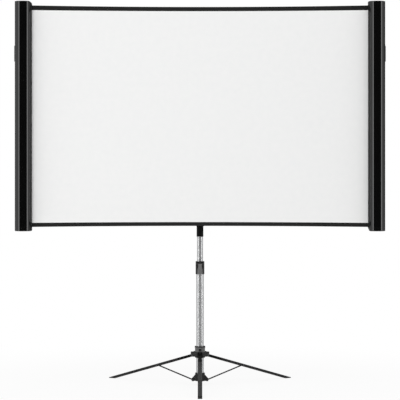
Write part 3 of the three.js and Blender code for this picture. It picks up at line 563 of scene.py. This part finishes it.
shaded_dish_share = 0.6
# the knob is grey, partly its own colour and partly a painted highlight for the light on its rim
knob = finished_moulding("collar_knob", grey_plastic, edge=0.0005)
knob_low, knob_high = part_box("collar_knob")
knob_axis = middle("collar_knob")
shaded_dish_radius = shaded_dish_share * (knob_high.x - knob_low.x) / 2


def in_painted_dish_shade(face):
    return math.hypot(face.center.x - knob_axis.x, face.center.z - knob_axis.z) < shaded_dish_radius


# the faces in the knob's dish take the black finish, painted shade in the hollow
second_finish(knob, moulded_black, in_painted_dish_shade)


# Legs and struts: inverted steel channels and flat links in a black baked paint, each leg with a rubber plug in
# its foot and its upper end painted matt near-black, painted shade under the collar. All of them turn on headed
# steel pins.
painted_leg = grained_finish(
    "painted_leg", dark=0.009, light=0.013, worn=0.05, roughness=0.40, shine=0.20,
    grain_scale=900, grain_depth=0.00006, wear=0.6, dust=0.03,
)
# a matt near-black: painted shade on the legs' upper ends, and on the socket and its knob their own black
# deepened by painted shade
matt_black_and_painted_shade = grained_finish(
    "matt_black_and_painted_shade", dark=0.003, light=0.005, worn=0.02, roughness=0.6, shine=0.10,
    grain_scale=1400, grain_depth=0.00012, wear=0.5, dust=0.01,
)
foot_rubber = grained_finish(
    "foot_rubber", dark=0.006, light=0.009, worn=0.02, roughness=0.68, shine=0.15,
    grain_scale=1100, grain_depth=0.00016, wear=0.6, dust=0.03,
)
steel_pin = metal_finish(
    "steel_pin", dull=(0.05, 0.05, 0.053, 1), bright=(0.09, 0.09, 0.094, 1), roughness=0.42,
    across=900, along=900, depth=0.00004,
)
shaded_end_length = 0.090


def leg_with_shaded_end(side):
    leg = finished_moulding(f"leg_{side}", painted_leg, edge=0.0005)
    pin = middle(f"collar_pin_{side}")
    down_leg = (middle(f"foot_{side}") - pin).normalized()
    shade_end = pin + down_leg * shaded_end_length
    bpy.ops.object.mode_set(mode="EDIT")
    cut_across(shade_end, down_leg)
    bpy.ops.object.mode_set(mode="OBJECT")
    # the leg's upper end takes the matt near-black, painted shade under the collar
    second_finish(leg, matt_black_and_painted_shade, lambda face: (face.center - shade_end).dot(down_leg) < 0)
    shade_by_faces(leg)


for side in ("front", "left", "right"):
    leg_with_shaded_end(side)
    finished_moulding(f"strut_{side}", painted_leg, edge=0.0006)
    finished_moulding(f"foot_{side}", foot_rubber, edge=0.0011)
    for joint in ("hub_pin", "collar_pin", "knee_pin"):
        paint(f"{joint}_{side}", steel_pin)


# Mast clamp: a black nylon block round the joint of both tubes, fixed on the lower one. A grey lever on a steel
# pin draws it tight on the upper one.
finished_moulding("clamp_body", moulded_black, edge=0.0007)
finished_moulding("clamp_lever", grey_plastic, edge=0.0010)
paint("lever_pin", steel_pin)


# Socket: a black nylon cup on the mast's top, plugged into the foot of the spine. A hand screw at its back holds
# it on the tube.
# the socket and its knob take the matt near-black, their own black deepened by painted shade for the shadow under
# the sheet
finished_moulding("mast_socket", matt_black_and_painted_shade, edge=0.0007)
finished_moulding("socket_knob", matt_black_and_painted_shade, edge=0.0005)


# Spine and scissor brace: a black anodised channel behind the sheet and two crossed pairs of flat bars on riveted
# pins. One pin of each pair slides in the spine and in the tracks at the backs of the cases.
brace_metal = grained_finish(
    "brace_metal", dark=0.040, light=0.054, worn=0.20, roughness=0.36, shine=0.5,
    grain_scale=700, grain_depth=0.00004, wear=0.8, dust=0.12,
)
finished_moulding("spine", brace_metal, edge=0.0005)
finished_moulding("spine_cap", moulded_black, edge=0.0004)
for side in ("right", "left"):
    finished_moulding(f"arm_lower_{side}", brace_metal, edge=0.0007)
    finished_moulding(f"arm_upper_{side}", brace_metal, edge=0.0007)
    paint(f"cross_pin_{side}", steel_pin)
    paint(f"case_pivot_{side}", steel_pin)
    paint(f"case_slider_{side}", moulded_black)
paint("spine_pivot", steel_pin)
paint("spine_slider", moulded_black)


# Rollers: aluminium tubes on gudgeons in the caps, hidden in the cases. Each has a fixed steel arbor in its top
# and a spring wound round that.
roller_tube = metal_finish(
    "roller_tube", dull=(0.60, 0.61, 0.62, 1), bright=(0.70, 0.71, 0.72, 1), roughness=0.30,
    across=1800, along=20, depth=0.00003,
)
for side in ("right", "left"):
    paint(f"roller_{side}", roller_tube)
    paint(f"roller_arbor_{side}", steel_pin)
    paint(f"roller_spring_{side}", steel_pin)


# Cases: black extrusions with a high gloss lacquer, round in front and flat behind, with a slot for the sheet and
# a track for the brace. The flats beside the slot are flocked, and moulded caps close both ends.
gloss_dark = 0.0015
gloss_light = 0.003
gloss_worn = 0.05
gloss_dusty = 0.3
gloss_smooth = 0.06
gloss_dull = 0.10
gloss_strength = 0.05
gloss_depth = 0.0001
case_gloss = new_material("case_gloss")
gloss_tree = case_gloss.node_tree
gloss_grain = placed_group(gloss_tree, grain_group, Scale=300.0)
gloss_lines = placed_group(gloss_tree, streak_group, Across=700.0, Along=6.0)
gloss_wear = placed_group(gloss_tree, wear_group, Radius=0.0010, Amount=0.35)
gloss_dust = placed_group(gloss_tree, dust_group, Amount=0.12)
gloss_tone = mixed(gloss_tree, gloss_grain.outputs["Patch"], grey(gloss_dark), grey(gloss_light))
gloss_tone = mixed(gloss_tree, gloss_wear.outputs["Mask"], gloss_tone, grey(gloss_worn))
gloss_tone = mixed(gloss_tree, gloss_dust.outputs["Mask"], gloss_tone, grey(gloss_dusty))
feed(gloss_tree, "Base Color", gloss_tone)
vary_roughness(gloss_tree, gloss_lines.outputs["Line"], gloss_smooth, gloss_dull)
bump(gloss_tree, gloss_grain.outputs["Height"], gloss_strength, gloss_depth)

case_wall = 0.002
case_corner = 0.005
track_half = 0.0135
track_depth = 0.010
mouth_half = 0.0065
slot_half = 0.0035
front_steps = 64
corner_steps = 8
sheet_low, sheet_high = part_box("projection_sheet")
sheet_middle = middle("projection_sheet")
shell_low, shell_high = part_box("case_shell_right")
case_radius = (shell_high.x - shell_low.x) / 2
case_centre_x = middle("case_shell_right").x
case_back = shell_high.y
case_axis_y = shell_low.y + case_radius


def arc(centre_x, centre_y, radius, start, end, steps):
    turns = [start + (end - start) * step / steps for step in range(steps + 1)]
    return [(centre_x + radius * math.cos(t), centre_y + radius * math.sin(t)) for t in turns]


def case_outline(inset):
    radius = case_radius - inset
    corner = case_corner - inset
    corner_y = case_back - inset - corner
    front = arc(0, case_axis_y, radius, math.pi, 2 * math.pi, front_steps)
    outer_corner = arc(radius - corner, corner_y, corner, 0, math.pi / 2, corner_steps)
    inner_corner = arc(corner - radius, corner_y, corner, math.pi / 2, math.pi, corner_steps)
    return front, outer_corner, inner_corner


def shell_profile():
    slot_front = sheet_middle.y - slot_half
    slot_rear = sheet_middle.y + slot_half
    plate = case_back - case_wall
    track_floor = plate - track_depth
    front, outer_corner, inner_corner = case_outline(0)
    track = [
        (mouth_half, case_back),
        (mouth_half, plate),
        (track_half, plate),
        (track_half, track_floor),
        (-track_half, track_floor),
        (-track_half, plate),
        (-mouth_half, plate),
        (-mouth_half, case_back),
    ]
    outside = [(-case_radius, slot_front)] + front + outer_corner + track + inner_corner
    outside.append((-case_radius, slot_rear))
    front, outer_corner, inner_corner = case_outline(case_wall)
    track_outside = track_half + case_wall
    track_walls = [
        (track_outside, plate),
        (track_outside, track_floor - case_wall),
        (-track_outside, track_floor - case_wall),
        (-track_outside, plate),
    ]
    slot_inside = case_wall - case_radius
    inside = [(slot_inside, slot_front)] + front + outer_corner + track_walls + inner_corner
    inside.append((slot_inside, slot_rear))
    return outside + inside[::-1]


def extruded(name, profile, side, foot, top):
    bpy.ops.object.select_all(action="DESELECT")
    bpy.ops.mesh.primitive_circle_add(vertices=len(profile), radius=case_radius, fill_type="NGON")
    piece = bpy.context.object
    piece.name = name
    for corner, (x, y) in zip(piece.data.vertices, profile):
        corner.co = (side * (case_centre_x + x), y, foot)
    bpy.ops.object.mode_set(mode="EDIT")
    bpy.ops.mesh.select_all(action="SELECT")
    bpy.ops.mesh.extrude_region_move(TRANSFORM_OT_translate={"value": (0, 0, top - foot)})
    bpy.ops.mesh.select_all(action="SELECT")
    bpy.ops.mesh.remove_doubles(threshold=weld_distance)
    bpy.ops.mesh.normals_make_consistent(inside=False)
    bpy.ops.object.mode_set(mode="OBJECT")
    return piece


cap_rim = 0.003
cap_rim_steps = 5
cap_nose = 0.015
cap_nose_steps = 10
chamfer_width = 0.007
chamfer_land = 0.0004


def select_outer_rim(piece, level):
    bpy.ops.mesh.select_all(action="DESELECT")
    bpy.ops.mesh.select_mode(type="EDGE")
    mesh = bmesh.from_edit_mesh(piece.data)
    for rim in mesh.edges:
        rim.select = all(abs(corner.co.z - level) < weld_distance for corner in rim.verts)
    bmesh.update_edit_mesh(piece.data)


def slice_off(place, outward):
    cut_across(place, Vector(outward).normalized(), discard=True)


def end_cap(node, side, end):
    low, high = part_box(node)
    outer = high.z if end > 0 else low.z
    seat = shell_high.z if end > 0 else shell_low.z
    front, outer_corner, inner_corner = case_outline(0)
    outline = front + outer_corner + inner_corner
    piece = extruded(f"{node}_moulded", outline, side, min(seat, outer), max(seat, outer))
    active_piece(piece)
    bpy.ops.object.mode_set(mode="EDIT")
    select_outer_rim(piece, outer)
    bpy.ops.mesh.bevel(offset=cap_rim, segments=cap_rim_steps, affect="EDGES")
    inner = side * (case_centre_x - case_radius)
    if node == "top_cap_left":
        centre_x = inner + side * cap_nose
        centre_z = outer - cap_nose
        for step in range(1, cap_nose_steps):
            slope = math.radians(90) * step / cap_nose_steps
            outward = (-side * math.cos(slope), 0, math.sin(slope))
            place = (centre_x + cap_nose * outward[0], 0, centre_z + cap_nose * outward[2])
            slice_off(place, outward)
    if node == "bottom_cap_right":
        slope_top = seat - chamfer_land
        slice_off((inner, 0, slope_top), (-side * (slope_top - outer), 0, -chamfer_width))
    bpy.ops.object.mode_set(mode="OBJECT")
    shade_by_faces(piece)
    fix_in_place(piece, node, case_gloss)


lip_flock = grained_finish(
    "lip_flock", dark=0.014, light=0.022, worn=0.03, roughness=0.85, shine=0.05,
    grain_scale=2600, grain_depth=0.0002, wear=0.2, dust=0.1,
)
shell_edge = 0.0003
lip_facing = 0.90
lip_tilt = 0.1


def drawn_shell(name, side):
    shell = extruded(f"case_shell_{name}_drawn", shell_profile(), side, shell_low.z, shell_high.z)
    round_edges(shell, shell_edge)
    fix_in_place(shell, f"case_shell_{name}", case_gloss)

    def beside_slot(face):
        return face.normal.x * side < -lip_facing and abs(face.normal.z) < lip_tilt

    second_finish(shell, lip_flock, beside_slot)


for name, side in (("right", 1), ("left", -1)):
    drawn_shell(name, side)
    end_cap(f"top_cap_{name}", side, 1)
    end_cap(f"bottom_cap_{name}", side, -1)


# Side grips: black rubber pads glued to the outer sides of the cases. Each is moulded with hollows between ribs
# for the hand.
grip_rubber = grained_finish(
    "grip_rubber", dark=0.016, light=0.024, worn=0.05, roughness=0.62, shine=0.3,
    grain_scale=1300, grain_depth=0.00014, wear=0.5, dust=0.1,
)
grip_strips = 10
grip_rib = 0.0012
grip_hollow = 0.0009
grip_facing = 0.999
for name, side in (("right", 1), ("left", -1)):
    low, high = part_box(f"side_grip_{name}")
    strip_height = (high.z - low.z) / grip_strips
    grip = finished_moulding(f"side_grip_{name}", grip_rubber, edge=0.0009)
    bpy.ops.object.mode_set(mode="EDIT")
    for strip in range(1, grip_strips):
        cut_across((0, 0, low.z + strip * strip_height), (0, 0, 1))
    bpy.ops.mesh.select_mode(type="FACE")
    mesh = bmesh.from_edit_mesh(grip.data)
    for face in mesh.faces:
        height = face.calc_center_median().z
        in_strips = low.z + strip_height < height < high.z - strip_height
        face.select = face.normal.x * side > grip_facing and in_strips
    bmesh.update_edit_mesh(grip.data)
    bpy.ops.mesh.inset(thickness=grip_rib, depth=-grip_hollow, use_individual=True)
    bpy.ops.object.mode_set(mode="OBJECT")
    shade_by_faces(grip)


# Sheet: a coated white cloth with printed black bands along its long edges and a black back, drawn tight between
# the rollers so that its edges bow in. A few turns of it stay wound on each roller.
slub_scale = 35.0
weave_group, weave_in, weave_out = new_group(
    "cloth_weave", [("Place", VECTOR), ("Threads", VALUE)], [("Height", VALUE), ("Slub", VALUE)]
)
weave_axes = weave_group.nodes.new("ShaderNodeSeparateXYZ")
weave_group.links.new(weave_in.outputs["Place"], weave_axes.inputs[0])
threads = []
for axis in ("X", "Z"):
    run = math_node(weave_group, "MULTIPLY", weave_axes.outputs[axis], weave_in.outputs["Threads"])
    threads.append(math_node(weave_group, "SINE", run))
crossing = math_node(weave_group, "MULTIPLY", *threads)
weave_group.links.new(crossing, weave_out.inputs["Height"])
slubs = noise(weave_group, weave_in.outputs["Place"], slub_scale, detail=4)
weave_group.links.new(slubs, weave_out.inputs["Slub"])

thread_scale = 9000.0
cloth_spread = 0.05
cloth_shine = 0.25
weave_strength = 0.2


def cloth_finish(name, dark, light, roughness, depth):
    material = new_material(name)
    tree = material.node_tree
    weave = placed_group(tree, weave_group, Threads=thread_scale)
    feed(tree, "Base Color", mixed(tree, weave.outputs["Slub"], dark, light))
    vary_roughness(tree, weave.outputs["Slub"], roughness - cloth_spread, roughness + cloth_spread)
    set_value(tree, "Specular IOR Level", cloth_shine)
    bump(tree, weave.outputs["Height"], weave_strength, depth)
    return material


sheet_white = cloth_finish(
    "sheet_white", dark=(0.84, 0.845, 0.845, 1), light=(0.88, 0.88, 0.875, 1), roughness=0.85, depth=0.00008
)
sheet_band = cloth_finish("sheet_band", dark=grey(0.010), light=grey(0.014), roughness=0.72, depth=0.00006)
sheet_back = cloth_finish("sheet_back", dark=grey(0.014), light=grey(0.022), roughness=0.80, depth=0.00008)

sheet_columns = 120
sheet_rows = 60
top_band = 0.0240
top_bow = 0.0080
top_band_bow = 0.0055
bottom_band = 0.0210
bottom_bow = 0.0055
bottom_band_bow = 0.0040
sheet_thickness = sheet_high.y - sheet_low.y
sheet_width = sheet_high.x - sheet_low.x
sheet_height = sheet_high.z - sheet_low.z
sheet_half = sheet_height / 2
bow_half = case_centre_x - case_radius
bpy.ops.object.select_all(action="DESELECT")
bpy.ops.mesh.primitive_grid_add(
    x_subdivisions=sheet_columns,
    y_subdivisions=sheet_rows,
    size=1,
    location=(0, sheet_low.y, sheet_middle.z),
    rotation=(math.radians(90), 0, 0),
)
sheet = bpy.context.object
sheet.name = "stretched_sheet"
sheet.scale = (sheet_width, sheet_height, 1)
bpy.ops.object.transform_apply(location=True, rotation=True, scale=True)
bpy.ops.object.mode_set(mode="EDIT")
cut_across((0, sheet_low.y, sheet_high.z - top_band), (0, 0, 1))
cut_across((0, sheet_low.y, sheet_low.z + bottom_band), (0, 0, -1))
bpy.ops.object.mode_set(mode="OBJECT")


def printed_band(height):
    return (top_band, top_bow, top_band_bow) if height > 0 else (bottom_band, bottom_bow, bottom_band_bow)


def in_band(patch):
    height = patch.center.z - sheet_middle.z
    return abs(height) > sheet_half - printed_band(height)[0]


sheet.data.materials.append(sheet_white)
second_finish(sheet, sheet_band, in_band)
# the backs of the white and of the bands take the slots two further on
sheet.data.materials.append(sheet_back)
sheet.data.materials.append(sheet_back)
for corner in sheet.data.vertices:
    share = min(abs(corner.co.x) / bow_half, 1.0)
    drawn_in = 1 - share**2
    height = corner.co.z - sheet_middle.z
    band, edge_bow, band_bow = printed_band(height)
    inside = sheet_half - band
    if abs(height) <= inside:
        pulled = band_bow * abs(height) / inside
    else:
        pulled = band_bow + (edge_bow - band_bow) * (abs(height) - inside) / band
    corner.co.z -= math.copysign(pulled * drawn_in, height)


def thicken(piece, thickness, offset, back_slots):
    active_piece(piece)
    cloth = piece.modifiers.new("cloth_thickness", "SOLIDIFY")
    cloth.thickness = thickness
    cloth.offset = offset
    cloth.material_offset = back_slots
    cloth.material_offset_rim = back_slots
    bpy.ops.object.modifier_apply(modifier=cloth.name)
    bpy.ops.object.shade_smooth_by_angle(angle=smooth_angle)


thicken(sheet, sheet_thickness, offset=-1, back_slots=2)
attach(sheet, "screen_head")
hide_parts("projection_sheet")
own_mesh(sheet)

roll_turns = 4
roll_steps = 48
cloth_share = 0.9
for name, side in (("right", 1), ("left", -1)):
    low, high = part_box(f"sheet_roll_{name}")
    roller_low, roller_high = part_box(f"roller_{name}")
    outer_radius = (high.x - low.x) / 2
    inner_radius = (roller_high.x - roller_low.x) / 2
    centre = middle(f"sheet_roll_{name}")
    pitch = (outer_radius - inner_radius) / (roll_turns + 1)
    bpy.ops.object.select_all(action="DESELECT")
    bpy.ops.mesh.primitive_grid_add(x_subdivisions=roll_turns * roll_steps, y_subdivisions=1, size=1)
    roll = bpy.context.object
    roll.name = f"sheet_roll_{name}_wound"
    for corner in roll.data.vertices:
        wound = (corner.co.x + 0.5) * roll_turns
        radius = inner_radius + pitch * (wound + 0.5)
        angle = math.radians(90) + side * 2 * math.pi * (wound - roll_turns)
        height = high.z if corner.co.y > 0 else low.z
        corner.co = (centre.x + radius * math.cos(angle), centre.y + radius * math.sin(angle), height)
    for finish in (sheet_white, sheet_back):
        roll.data.materials.append(finish)
    thicken(roll, pitch * cloth_share, offset=0, back_slots=1)
    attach(roll, f"roller_{name}")
    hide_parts(f"sheet_roll_{name}")
